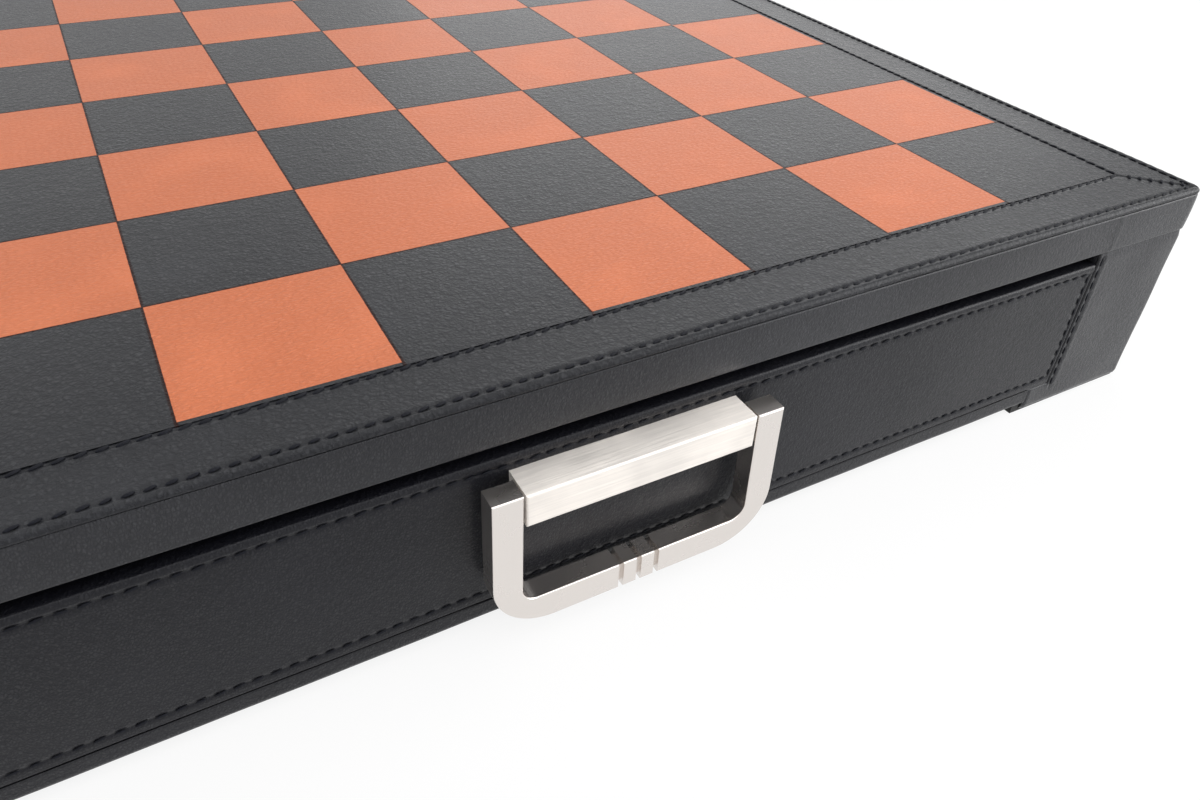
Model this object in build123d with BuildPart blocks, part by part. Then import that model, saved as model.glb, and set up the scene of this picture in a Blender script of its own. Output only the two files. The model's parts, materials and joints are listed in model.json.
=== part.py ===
from build123d import *
import os

# Leather-covered chess box with a drawer in its front and a drawer in its back.
# Sizes are in millimetres. The origin is the centre of the footprint on the resting plane,
# +Z is up, the front drawer opens towards -Y and the back drawer towards +Y.

# ---- Playing surface ----
squares_per_side = 8
square_size = 45.0
border_width = 19.0          # stitched leather border around the field
leather = 1.2                # thickness of every leather cover
field_overlap = 1.0          # field leather beyond the outer squares, up to the border's inner edge
print_depth = 0.35           # depth of the coloured squares let into the field leather
print_margin = 0.15          # dark line kept around each coloured square

# ---- Heights, stacked from the resting plane up ----
foot_height = 3.5            # free height of the foot plates under the edge strips
rail_height = 5.5            # leather edge strip of the bottom board
drawer_joint = 0.5           # visible joint between the edge strip and the drawer front
drawer_front_height = 43.5
slot_height = 3.5            # finger-wide shadow slot over the drawer front
band_height = 13.5           # leather band around the edge of the top board

# ---- Case ----
post_width = 38.8            # leather-covered corner post beside the drawer, seen from the front
block_depth = 45.0           # corner block, measured back from the case's face
panel_thickness = 12.0       # outer side panels
guide_thickness = 6.0        # inner walls that guide the drawers
divider_thickness = 8.0      # wall between the two drawers
felt_thickness = 0.6         # felt under the bottom board
foot_size = 50.0
cover_tab = 9.0              # foot of the corner cover, past the post and under the drawer
cover_lift = 0.4             # corner cover clear of the table
cover_return = 12.0          # corner cover turned into the drawer opening
glide_width = 10.0
glide_thickness = 0.6
seat_clearance = 0.3         # gap between parts that lie next to each other without touching

# ---- Drawers ----
running_gap = 0.3            # drawer over its glides, and drawer to the divider when shut
side_gap = 0.6               # drawer to the opening, each side
front_core = 12.0
drawer_wall = 8.0
drawer_wall_drop = 2.0       # top of the drawer walls below the top of the drawer front
floor_thickness = 4.0
floor_drop = 2.0             # underside of the floor above the underside of the walls
floor_groove = 3.0           # depth of the groove that holds the floor
lining = 0.8

# ---- Handle ----
bar_length = 60.0
bar_size = 9.2               # square section of the fixed bar
bar_drop = 21.2              # top of the bar below the playing surface
bail_gap = 0.5               # side play between the bar's ends and the bail's arms
arm_width = 7.4
arm_depth = 6.3
bail_height = 41.9           # arm tops to the underside of the grip
bail_splay = 1.0             # each arm leans out by this much from its top to the grip's underside
grip_height = 8.2
bail_outer_radius = 15.5
bail_inner_radius = 4.0
metal_round = 0.5
pivot_below_top = 4.0        # pivot axis below the tops of the arms
pin_radius = 1.5
pin_in_bar = 8.0
pin_in_arm = 5.0
pin_running_fit = 0.05       # radial clearance of the pins in the bail's arms
seat_fit = 0.02              # radial clearance where pins and screws are fixed in the bar
blind_end = 0.4              # spare depth behind the end of a pin or screw
screw_radius = 2.0
screw_length = 20.0
screw_spacing = 34.0
screw_hole_radius = 2.2
screw_head_radius = 4.0
screw_head_height = 2.5
screw_head_round = 0.8
screw_slot_width = 1.2
screw_slot_depth = 1.2
grip_groove_count = 3
grip_groove_pitch = 5.0
grip_groove_width = 1.4
grip_groove_depth = 1.3

# ---- Leather edges and stitch channels ----
edge_round = 0.8
stitch_channel_width = 0.9
stitch_channel_depth = 0.3
border_inner_inset = 1.4     # stitch row from the border's inner edge
border_outer_inset = 2.4     # stitch row from the border's outer edge
drawer_stitch_inset = 2.8    # upper and lower row of the drawer front, from its edges
drawer_end_inset = 1.5       # stitch rows at the ends of the drawer front
post_stitch_inset = 1.2

# ---- Worked out from the sizes above ----
box_size = squares_per_side * square_size + 2 * border_width
half = box_size / 2
core_half = half - leather
field_half = squares_per_side * square_size / 2 + field_overlap
print_size = square_size - 2 * print_margin
rail_top = foot_height + rail_height
drawer_low = rail_top + drawer_joint
drawer_high = drawer_low + drawer_front_height
band_low = drawer_high + slot_height
height = band_low + band_height
top_board_high = height - leather
bottom_board_low = foot_height + felt_thickness
glide_high = drawer_low - running_gap
bottom_board_high = glide_high - glide_thickness
opening_half = half - post_width
tab_edge = opening_half - cover_tab
guide_outer = opening_half + guide_thickness
block_edge = core_half - block_depth
return_edge = core_half - cover_return
foot_edge = core_half - foot_size
leather_round = min(edge_round, 0.8 * leather)

drawer_half = opening_half - side_gap
front_back_face = core_half - front_core
drawer_rear = divider_thickness / 2 + running_gap
wall_high = drawer_high - drawer_wall_drop
wall_inner = drawer_half - drawer_wall
floor_low = drawer_low + floor_drop
floor_high = floor_low + floor_thickness

bar_high = height - bar_drop
bar_middle = bar_high - bar_size / 2
bar_face = half + bar_size
bail_back = bar_face - arm_depth
arm_inner = bar_length / 2 + bail_gap
arm_outer = arm_inner + arm_width
pivot_high = bar_high - pivot_below_top
pivot_out = bar_face - arm_depth / 2
grip_low = bar_high - bail_height
screw_tip = front_back_face + screw_length

side_angles = {"front": 0, "right": 90, "back": 180, "left": 270}
corners = {"front_left": (-1, -1), "front_right": (1, -1), "back_left": (-1, 1), "back_right": (1, 1)}
hands = {"left": -1, "right": 1}

os.makedirs("parts", exist_ok=True)


def block(x_limits, y_limits, z_limits, mode=Mode.ADD):
    """A rectangular block between its limits, in the part that is being built."""
    limits = (x_limits, y_limits, z_limits)
    sizes = [abs(high - low) for low, high in limits]
    with Locations(tuple((low + high) / 2 for low, high in limits)):
        Box(*sizes, mode=mode)


def side_plane(angle, level):
    """A level plane whose -Y points at the side of the box that lies at this angle."""
    return Plane.XY.offset(level).rotated((0, 0, angle))


def write(piece, name):
    """Label a finished piece and write it to its own file."""
    piece.part.label = name
    export_step(piece.part, f"parts/{name}.step")


# ---- Top board and playing field ----
with BuildPart() as top_board:
    block((-core_half, core_half), (-core_half, core_half), (band_low, top_board_high))
write(top_board, "top_board")

coloured_places = [
    ((column - (squares_per_side - 1) / 2) * square_size, (row - (squares_per_side - 1) / 2) * square_size)
    for column in range(squares_per_side)
    for row in range(squares_per_side)
    if (column + row) % 2 == 0
]

with BuildPart() as orange_squares:
    with BuildSketch(Plane.XY.offset(height - print_depth)):
        with Locations(coloured_places):
            Rectangle(print_size, print_size)
    extrude(amount=print_depth)
write(orange_squares, "orange_squares")

with BuildPart() as playing_field:
    block((-field_half, field_half), (-field_half, field_half), (top_board_high, height))
    with BuildSketch(Plane.XY.offset(height)):
        with Locations(coloured_places):
            Rectangle(print_size, print_size)
    extrude(amount=-print_depth, mode=Mode.SUBTRACT)
write(playing_field, "playing_field")

# ---- Leather border strips on top and bands round the edge, mitred at the corners ----
for side, angle in side_angles.items():
    with BuildPart() as border:
        with BuildSketch(side_plane(angle, top_board_high)):
            with BuildLine():
                Polyline(
                    (-half, -half), (half, -half), (field_half, -field_half), (-field_half, -field_half),
                    close=True,
                )
            make_face()
        extrude(amount=leather)
        outer_edge = border.edges().filter_by(lambda edge: edge.length > box_size - leather)
        fillet(outer_edge.sort_by(Axis.Z)[-1], radius=leather_round)
        with BuildSketch(side_plane(angle, height)):
            for row in (field_half + border_inner_inset, half - border_outer_inset):
                with Locations((0, -row)):
                    Rectangle(2 * row, stitch_channel_width)
        extrude(amount=-stitch_channel_depth, mode=Mode.SUBTRACT)
    write(border, f"border_{side}")

    with BuildPart() as band:
        with BuildSketch(side_plane(angle, band_low)):
            with BuildLine():
                Polyline(
                    (-half, -half), (half, -half), (core_half, -core_half), (-core_half, -core_half),
                    close=True,
                )
            make_face()
        extrude(amount=top_board_high - band_low)
    write(band, f"band_{side}")

# ---- Corner posts: wooden block, leather cover and foot plate at each corner ----
for corner, (x_side, y_side) in corners.items():
    with BuildPart() as corner_block:
        block(
            (x_side * guide_outer, x_side * core_half), (y_side * block_edge, y_side * core_half),
            (bottom_board_high, band_low),
        )
        block(
            (x_side * (opening_half + leather), x_side * guide_outer),
            (y_side * return_edge, y_side * core_half),
            (bottom_board_high, band_low),
        )
    write(corner_block, f"corner_block_{corner}")

    with BuildPart() as corner_cover:
        for edge, low, high in ((opening_half, cover_lift, band_low), (tab_edge, cover_lift, rail_top)):
            block((x_side * edge, x_side * half), (y_side * core_half, y_side * half), (low, high))
            block((x_side * core_half, x_side * half), (y_side * edge, y_side * half), (low, high))
        block(
            (x_side * opening_half, x_side * (opening_half + leather)),
            (y_side * return_edge, y_side * core_half),
            (bottom_board_high, band_low),
        )
        upright_edges = corner_cover.edges().filter_by(Axis.Z)
        fillet(upright_edges.sort_by_distance((x_side * half, y_side * half, band_low / 2))[0], leather_round)
        stitch_middle = opening_half + post_stitch_inset
        block(
            (x_side * (stitch_middle - stitch_channel_width / 2), x_side * (stitch_middle + stitch_channel_width / 2)),
            (y_side * (half - stitch_channel_depth), y_side * half),
            (rail_top, band_low),
            mode=Mode.SUBTRACT,
        )
    write(corner_cover, f"corner_cover_{corner}")

    with BuildPart() as foot_plate:
        block(
            (x_side * foot_edge, x_side * core_half), (y_side * foot_edge, y_side * core_half),
            (0, bottom_board_low),
        )
    write(foot_plate, f"foot_plate_{corner}")

# ---- Side walls: outer panel, leather cover and inner wall that guides the drawers ----
for hand, x_side in hands.items():
    with BuildPart() as side_panel:
        block(
            (x_side * (core_half - panel_thickness), x_side * core_half), (-block_edge, block_edge),
            (bottom_board_high, band_low),
        )
    write(side_panel, f"side_panel_{hand}")

    with BuildPart() as side_cover:
        block((x_side * core_half, x_side * half), (-opening_half, opening_half), (rail_top, band_low))
        block((x_side * core_half, x_side * half), (-tab_edge, tab_edge), (foot_height, rail_top))
    write(side_cover, f"side_cover_{hand}")

    with BuildPart() as guide_wall:
        block(
            (x_side * opening_half, x_side * guide_outer), (-return_edge, return_edge),
            (bottom_board_high, band_low),
        )
    write(guide_wall, f"guide_wall_{hand}")

with BuildPart() as centre_divider:
    block(
        (-opening_half, opening_half), (-divider_thickness / 2, divider_thickness / 2),
        (bottom_board_high, band_low),
    )
write(centre_divider, "centre_divider")

# ---- Bottom board, its edge strips and felt, and the glides that the drawers run on ----
with BuildPart() as bottom_board:
    block((-core_half, core_half), (-core_half, core_half), (bottom_board_low, bottom_board_high))
write(bottom_board, "bottom_board")

for side, y_side in (("front", -1), ("back", 1)):
    with BuildPart() as bottom_edge:
        block((-tab_edge, tab_edge), (y_side * core_half, y_side * half), (foot_height, rail_top))
    write(bottom_edge, f"bottom_edge_{side}")

with BuildPart() as base_felt:
    block((-core_half, core_half), (-core_half, core_half), (foot_height, bottom_board_low))
    notch_edge = foot_edge - seat_clearance
    for x_side, y_side in corners.values():
        block(
            (x_side * notch_edge, x_side * core_half), (y_side * notch_edge, y_side * core_half),
            (foot_height, bottom_board_low),
            mode=Mode.SUBTRACT,
        )
write(base_felt, "base_felt")

with BuildPart() as glide_strips:
    for x_side, y_side in corners.values():
        block(
            (x_side * (drawer_half - glide_width), x_side * drawer_half),
            (y_side * drawer_rear, y_side * return_edge),
            (bottom_board_high, glide_high),
        )
write(glide_strips, "glide_strips")

# ---- Drawer, built as the front one ----
screw_planes = [
    Plane(origin=(place, -front_back_face, bar_middle), z_dir=(0, -1, 0))
    for place in (-screw_spacing / 2, screw_spacing / 2)
]

with BuildPart() as drawer_front:
    block(
        (-drawer_half + leather, drawer_half - leather), (-core_half, -front_back_face),
        (drawer_low + leather, drawer_high - leather),
    )
    block(
        (-wall_inner - floor_groove, wall_inner + floor_groove),
        (-front_back_face - floor_groove, -front_back_face),
        (floor_low, floor_high),
        mode=Mode.SUBTRACT,
    )
    with BuildSketch(*screw_planes):
        Circle(screw_hole_radius)
    extrude(amount=front_core, mode=Mode.SUBTRACT)

with BuildPart() as drawer_cover:
    block((-drawer_half, drawer_half), (-half, -front_back_face), (drawer_low, drawer_high))
    fillet(drawer_cover.faces().sort_by(Axis.Y)[0].edges(), radius=leather_round)
    block(
        (-drawer_half + leather, drawer_half - leather), (-core_half, -front_back_face),
        (drawer_low + leather, drawer_high - leather),
        mode=Mode.SUBTRACT,
    )
    row_width = 2 * (drawer_half - drawer_end_inset)
    row_height = drawer_front_height - 2 * drawer_stitch_inset
    front_plane = Plane(origin=(0, -half, (drawer_low + drawer_high) / 2), z_dir=(0, -1, 0))
    with BuildSketch(front_plane):
        Rectangle(row_width + stitch_channel_width, row_height + stitch_channel_width)
        Rectangle(row_width - stitch_channel_width, row_height - stitch_channel_width, mode=Mode.SUBTRACT)
    extrude(amount=-stitch_channel_depth, mode=Mode.SUBTRACT)
    with BuildSketch(*screw_planes):
        Circle(screw_hole_radius)
    extrude(amount=front_core + leather, mode=Mode.SUBTRACT)


def drawer_side(x_side):
    """One long wall of the drawer, grooved for the floor."""
    with BuildPart() as wall:
        block((x_side * wall_inner, x_side * drawer_half), (-front_back_face, -drawer_rear), (drawer_low, wall_high))
        block(
            (x_side * wall_inner, x_side * (wall_inner + floor_groove)),
            (-front_back_face, -drawer_rear - drawer_wall + floor_groove),
            (floor_low, floor_high),
            mode=Mode.SUBTRACT,
        )
    return wall


drawer_back_inner = drawer_rear + drawer_wall

with BuildPart() as drawer_back:
    block((-wall_inner, wall_inner), (-drawer_back_inner, -drawer_rear), (drawer_low, wall_high))
    block(
        (-wall_inner, wall_inner), (-drawer_back_inner, -drawer_back_inner + floor_groove),
        (floor_low, floor_high),
        mode=Mode.SUBTRACT,
    )

with BuildPart() as drawer_floor:
    block(
        (-wall_inner - floor_groove, wall_inner + floor_groove),
        (-front_back_face - floor_groove, -drawer_back_inner + floor_groove),
        (floor_low, floor_high),
    )

with BuildPart() as drawer_lining:
    block((-wall_inner, wall_inner), (-front_back_face, -drawer_back_inner), (floor_high, floor_high + lining))

# ---- Handle: fixed bar, two screws from inside, two pins and the bail that swings on them ----
with BuildPart() as handle_bar:
    block((-bar_length / 2, bar_length / 2), (-bar_face, -half), (bar_high - bar_size, bar_high))
    fillet(handle_bar.edges().group_by(Axis.Y)[0], radius=metal_round)
    for x_side in hands.values():
        with BuildSketch(Plane(origin=(x_side * bar_length / 2, -pivot_out, pivot_high), z_dir=(-x_side, 0, 0))):
            Circle(pin_radius + seat_fit)
        extrude(amount=pin_in_bar + blind_end, mode=Mode.SUBTRACT)
    with BuildSketch(*[plane.offset(half - front_back_face) for plane in screw_planes]):
        Circle(screw_radius + seat_fit)
    extrude(amount=screw_tip - half + blind_end, mode=Mode.SUBTRACT)

with BuildPart() as handle_pins:
    for x_side in hands.values():
        pin_end = x_side * (arm_inner + pin_in_arm)
        with BuildSketch(Plane(origin=(pin_end, -pivot_out, pivot_high), z_dir=(-x_side, 0, 0))):
            Circle(pin_radius)
        extrude(amount=pin_in_arm + bail_gap + pin_in_bar)

with BuildPart() as handle_screws:
    with BuildSketch(*[plane.offset(-screw_head_height) for plane in screw_planes]):
        Circle(screw_head_radius)
    extrude(amount=screw_head_height)
    head_rims = handle_screws.faces().sort_by(Axis.Y)[-2:].edges()
    fillet(head_rims, radius=screw_head_round)
    with BuildSketch(*[plane.offset(-screw_head_height) for plane in screw_planes]):
        Rectangle(3 * screw_head_radius, screw_slot_width)
    extrude(amount=screw_slot_depth, mode=Mode.SUBTRACT)
    with BuildSketch(*screw_planes):
        Circle(screw_radius)
    extrude(amount=screw_length)

with BuildPart() as handle_bail:
    with BuildSketch(Plane.XZ.offset(bail_back)) as outline:
        with BuildLine():
            Polyline(
                (-arm_outer, bar_high), (arm_outer, bar_high),
                (arm_outer + bail_splay, grip_low), (-arm_outer - bail_splay, grip_low),
                close=True,
            )
        make_face()
        fillet(outline.vertices().group_by(Axis.Y)[0], radius=bail_outer_radius)
    extrude(amount=arm_depth)
    with BuildSketch(Plane.XZ.offset(bail_back)) as window:
        window_height = bail_height - grip_height
        window_half = arm_inner + bail_splay * window_height / bail_height
        with BuildLine():
            Polyline(
                (-arm_inner, bar_high), (arm_inner, bar_high),
                (window_half, bar_high - window_height), (-window_half, bar_high - window_height),
                close=True,
            )
        make_face()
        fillet(window.vertices().group_by(Axis.Y)[0], radius=bail_inner_radius)
    extrude(amount=arm_depth, mode=Mode.SUBTRACT)
    fillet(handle_bail.edges().group_by(Axis.Y)[0] + handle_bail.edges().group_by(Axis.Y)[-1], radius=metal_round)
    for number in range(grip_groove_count):
        groove_middle = (number - (grip_groove_count - 1) / 2) * grip_groove_pitch
        grip_middle = grip_low + grip_height / 2
        with BuildSketch(Plane.YZ.offset(groove_middle - grip_groove_width / 2)):
            with Locations((-pivot_out, grip_middle)):
                Rectangle(arm_depth + metal_round, grip_height + metal_round)
                Rectangle(
                    arm_depth - 2 * grip_groove_depth, grip_height - 2 * grip_groove_depth, mode=Mode.SUBTRACT
                )
        extrude(amount=grip_groove_width, mode=Mode.SUBTRACT)
    for x_side in hands.values():
        with BuildSketch(Plane(origin=(x_side * arm_inner, -pivot_out, pivot_high), z_dir=(x_side, 0, 0))):
            Circle(pin_radius + pin_running_fit)
        extrude(amount=pin_in_arm + blind_end, mode=Mode.SUBTRACT)

# ---- The back drawer and its handle are the front ones turned half a turn ----
drawer_pieces = {
    "drawer_front": drawer_front,
    "drawer_cover": drawer_cover,
    "drawer_side_left": drawer_side(hands["left"]),
    "drawer_side_right": drawer_side(hands["right"]),
    "drawer_back": drawer_back,
    "drawer_floor": drawer_floor,
    "drawer_lining": drawer_lining,
    "handle_bar": handle_bar,
    "handle_screws": handle_screws,
    "handle_pins": handle_pins,
    "handle_bail": handle_bail,
}
for piece_name, piece in drawer_pieces.items():
    write(piece, f"front_{piece_name}")
    with BuildPart() as turned:
        add(piece.part, rotation=(0, 0, 180))
    write(turned, f"back_{piece_name}")
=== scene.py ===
"""Looks of a leather chess box with two drawers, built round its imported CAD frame.

Lengths are in metres, in the frame of the CAD model: the front drawer opens towards -Y, +Z is up. The leather
pieces and their sewing are modelled here and stand for the plain CAD solids. Wood, felt, rubber and metal
pieces keep their CAD shape and get their finish here.
"""
import json
import logging
import math
import random
from dataclasses import dataclass, replace
from enum import Enum
from typing import Any, Callable, Optional, Sequence

import bmesh
import bpy
from mathutils import Euler, Matrix, Vector, noise


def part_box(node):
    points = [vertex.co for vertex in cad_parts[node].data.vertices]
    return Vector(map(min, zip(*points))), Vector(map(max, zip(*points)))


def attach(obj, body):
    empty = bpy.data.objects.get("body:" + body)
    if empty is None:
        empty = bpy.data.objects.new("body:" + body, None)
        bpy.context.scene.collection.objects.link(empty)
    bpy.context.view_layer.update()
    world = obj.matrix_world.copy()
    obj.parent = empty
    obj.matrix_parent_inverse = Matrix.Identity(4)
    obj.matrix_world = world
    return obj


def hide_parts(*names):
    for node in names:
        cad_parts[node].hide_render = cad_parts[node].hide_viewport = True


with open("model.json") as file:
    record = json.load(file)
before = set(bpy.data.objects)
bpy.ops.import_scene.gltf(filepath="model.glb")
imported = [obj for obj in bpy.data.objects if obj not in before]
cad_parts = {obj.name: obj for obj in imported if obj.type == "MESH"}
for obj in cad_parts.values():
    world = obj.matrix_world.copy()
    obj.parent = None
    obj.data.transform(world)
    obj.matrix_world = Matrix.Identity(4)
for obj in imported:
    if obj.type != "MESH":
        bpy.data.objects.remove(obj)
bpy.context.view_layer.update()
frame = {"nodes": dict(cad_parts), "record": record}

log = logging.getLogger("chess_box")

MM = 0.001
SEED = 64
WHITE = (1.0, 1.0, 1.0)
Colour = tuple[float, float, float]
Outline = list[tuple[float, float]]
Face = Callable[[float, float], tuple[Vector, Vector, Vector]]
Material = bpy.types.Material
Socket = bpy.types.NodeSocket


# ---- Shader building ----


class Value:
    """A number that varies over a surface, with the arithmetic that the finishes use."""

    def __init__(self, nodes: "Nodes", socket: Socket) -> None:
        """Wrap an output socket of a node."""
        self.nodes = nodes
        self.socket = socket

    def math(self, operation: str, *others: Any, clamp: bool = False) -> "Value":
        """Apply one Math node to this value and others, and clamp the result between 0 and 1 if asked."""
        return self.nodes.calculate(operation, self, *others, clamp=clamp)

    def __add__(self, other: Any) -> "Value":
        """Sum."""
        return self.math("ADD", other)

    def __sub__(self, other: Any) -> "Value":
        """Difference."""
        return self.math("SUBTRACT", other)

    def __rsub__(self, other: float) -> "Value":
        """Difference from a number."""
        return self.nodes.calculate("SUBTRACT", other, self)

    def __mul__(self, other: Any) -> "Value":
        """Product."""
        return self.math("MULTIPLY", other)

    def __truediv__(self, other: Any) -> "Value":
        """Quotient."""
        return self.math("DIVIDE", other)

    __radd__ = __add__
    __rmul__ = __mul__

    def step(self, low: float, high: float) -> "Value":
        """Rise smoothly from 0 at low to 1 at high."""
        node = self.nodes.node("MapRange", {"Value": self, "From Min": low, "From Max": high},
                               interpolation_type="SMOOTHSTEP")
        return Value(self.nodes, node.outputs[0])


class Nodes:
    """A node tree in the making."""

    def __init__(self, tree: bpy.types.NodeTree) -> None:
        """Empty the tree and take it over."""
        self.tree = tree
        tree.nodes.clear()

    def feed(self, socket: Socket, value: Any) -> None:
        """Give an input socket its link, colour or number.

        Args:
            socket: the input socket.
            value: a value or an output socket to link, or a colour or number to set.
        """
        if isinstance(value, Value):
            value = value.socket
        if isinstance(value, Socket):
            self.tree.links.new(value, socket)
        elif socket.type == "RGBA":
            socket.default_value = (*value, 1.0)
        else:
            socket.default_value = value

    def node(self, kind: str, sockets: dict[Any, Any], **settings: Any) -> bpy.types.Node:
        """Add one node.

        Args:
            kind: the node's Blender type, without "ShaderNode".
            sockets: what its input sockets are fed, by name or number.
            settings: properties of the node, set first.

        Returns:
            The node.
        """
        node = self.tree.nodes.new("ShaderNode" + kind)
        for key, setting in settings.items():
            setattr(node, key, setting)
        for key, value in sockets.items():
            self.feed(node.inputs[key], value)
        return node

    def calculate(self, operation: str, *terms: Any, clamp: bool = False) -> Value:
        """Apply one Math node to numbers and values."""
        node = self.node("Math", dict(enumerate(terms)), operation=operation, use_clamp=clamp)
        return Value(self, node.outputs[0])

    def seen(self) -> Value:
        """1 for the rays by which the camera sees, straight, mirrored or through glass, and 0 for others."""
        rays = self.node("LightPath", {})
        seen = Value(self, rays.outputs["Is Camera Ray"])
        for kind in ("Is Glossy Ray", "Is Transmission Ray"):
            seen = seen.math("MAXIMUM", rays.outputs[kind])
        return seen


class Shader(Nodes):
    """One material's node tree, with a Principled surface."""

    def __init__(self, name: str) -> None:
        """Start a material with a Principled shader and Object coordinates."""
        self.material = bpy.data.materials.new(name)
        self.material.use_nodes = True
        super().__init__(self.material.node_tree)
        self.surface = self.node("BsdfPrincipled", {})
        self.output = self.node("OutputMaterial", {"Surface": self.surface.outputs["BSDF"]})
        self.place = self.node("TexCoord", {}).outputs["Object"]

    def stretched(self, factors: Colour) -> Socket:
        """Object coordinates multiplied along each axis."""
        return self.node("Mapping", {"Vector": self.place, "Scale": factors}).outputs[0]

    def axis(self, name: str, at: Optional[Socket] = None) -> Value:
        """One coordinate of a place, or of the object's own, in metres."""
        return Value(self, self.node("SeparateXYZ", {0: at or self.place}).outputs[name])

    def clouds(self, scale: float, detail: float = 3.0, at: Optional[Socket] = None,
               distortion: float = 0.0) -> Value:
        """Soft noise between 0 and 1.

        Args:
            scale: cells per metre.
            detail: octaves.
            at: coordinates, or the object's own.
            distortion: how far the noise bends itself.

        Returns:
            The noise.
        """
        sockets = {"Vector": at or self.place, "Scale": scale, "Detail": detail, "Distortion": distortion}
        return Value(self, self.node("TexNoise", sockets).outputs[0])

    def warped(self, scale: float, reach: float, at: Optional[Socket] = None) -> Socket:
        """Object coordinates pushed about by noise.

        Args:
            scale: noise cells per metre.
            reach: the largest push, in metres.
            at: coordinates, or the object's own.

        Returns:
            The pushed coordinates.
        """
        start = at or self.place
        noise_node = self.node("TexNoise", {"Vector": start, "Scale": scale, "Detail": 2.0})
        centred = self.node("VectorMath", {0: noise_node.outputs["Color"], 1: (0.5, 0.5, 0.5)},
                            operation="SUBTRACT")
        push = self.node("VectorMath", {0: centred.outputs[0], "Scale": 2 * reach}, operation="SCALE")
        return self.node("VectorMath", {0: start, 1: push.outputs[0]}, operation="ADD").outputs[0]

    def edges(self, scale: float, at: Socket, randomness: float) -> Value:
        """Distance, in cells, to the nearest edge in a field of irregular cells, by cells per metre."""
        node = self.node("TexVoronoi", {"Vector": at, "Scale": scale, "Randomness": randomness},
                         feature="DISTANCE_TO_EDGE")
        return Value(self, node.outputs["Distance"])

    def mix(self, factor: Any, first: Any, second: Any) -> Socket:
        """Blend two colours by a factor."""
        return self.node("Mix", {0: factor, 6: first, 7: second}, data_type="RGBA").outputs[2]

    def relief(self, height: Value, depth: float, strength: float = 1.0) -> None:
        """Raise the surface by a height between 0 and 1, where 1 stands for a depth in metres."""
        bump = self.node("Bump", {"Height": height, "Distance": depth, "Strength": strength})
        self.dress(Normal=bump.outputs[0])

    def dress(self, **sockets: Any) -> None:
        """Feed sockets of the Principled shader; underscores in their names stand for spaces."""
        for key, value in sockets.items():
            self.feed(self.surface.inputs[key.replace("_", " ")], value)


# ---- Finishes ----


LACQUER_ROUGHNESS = 0.31
LACQUER_IOR = 1.3
BRUSH_LINES = 2400.0
BRUSH_DRAW = 0.022


@dataclass(frozen=True)
class Finish:
    """One material.

    Args:
        name: its name.
        colour: its main colour.
    """

    name: str
    colour: Colour

    def paint(self, shader: Shader) -> None:
        """Give the shader its colours, relief and sheen."""
        raise NotImplementedError

    def build(self) -> Material:
        """The finished material."""
        shader = Shader(self.name)
        self.paint(shader)
        return shader.material


@dataclass(frozen=True)
class GrainedLeather(Finish):
    """Pebble-grained hide, dyed or printed in one colour, which shows on its pebbles.

    Args:
        crease: colour in the creases between the pebbles, darker than the leather: painted shade.
        pebble: width of a pebble, in metres.
        relief: height of a pebble, in metres.
        roughness: middle roughness.
        stretch: how much longer the pebbles are along X, Y and Z.
        specular: specular level of the hide itself.
        coat: weight of the lacquer on the pebbles.
    """

    crease: Colour
    pebble: float = 1.30 * MM
    relief: float = 0.48 * MM
    roughness: float = 0.42
    stretch: Colour = (1.0, 1.0, 1.0)
    specular: float = 0.10
    coat: float = 0.70

    def paint(self, shader: Shader) -> None:
        """Lay the grain, its colour and its lacquer."""
        drawn = shader.stretched(tuple(1 / factor for factor in self.stretch))
        bent = shader.warped(0.7 / self.pebble, 0.35 * self.pebble, drawn)
        edge = shader.edges(1 / self.pebble, bent, 0.9)
        fine = shader.edges(2.3 / self.pebble, bent, 1.0)
        pebble = edge.step(0.0, 0.42)
        pores = shader.clouds(5.5 / self.pebble, 3.0, drawn)
        worn = shader.clouds(28.0, 3.0)
        wrinkle = shader.clouds(160.0, 4.0, shader.warped(60.0, 3 * MM), 0.6)
        blotch = shader.clouds(0.75 / self.pebble, 3.0, drawn, 0.5).step(0.3, 0.7)
        grain = pebble * (0.45 + blotch * 0.55)
        height = grain * 0.45 + fine.step(0.0, 0.2) * 0.05 + pores * 0.3 + blotch * 0.45 + wrinkle * 0.45
        shader.relief(height, self.relief)
        lacquer = (0.58 + grain * 0.42) * (1 + (pores - 0.5) * 0.8)
        # Painted shade: the creases take the darker crease colour and the pebbles the leather's own colour.
        body = shader.mix(grain * 0.5 + 0.5, self.crease, self.colour)
        pale = tuple(min(1.0, 1.18 * part + 0.004) for part in self.colour)
        dressed = shader.mix((worn - 0.45).step(0.0, 0.35) * 0.5, body, pale)
        rough = self.roughness + (worn - 0.5) * 0.16 + (pores - 0.5) * 0.12 - pebble * 0.05
        shader.dress(Base_Color=dressed, Roughness=rough, Specular_IOR_Level=self.specular,
                     Coat_Weight=lacquer.math("MULTIPLY", self.coat, clamp=True),
                     Coat_Roughness=LACQUER_ROUGHNESS, Coat_IOR=LACQUER_IOR)


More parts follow.
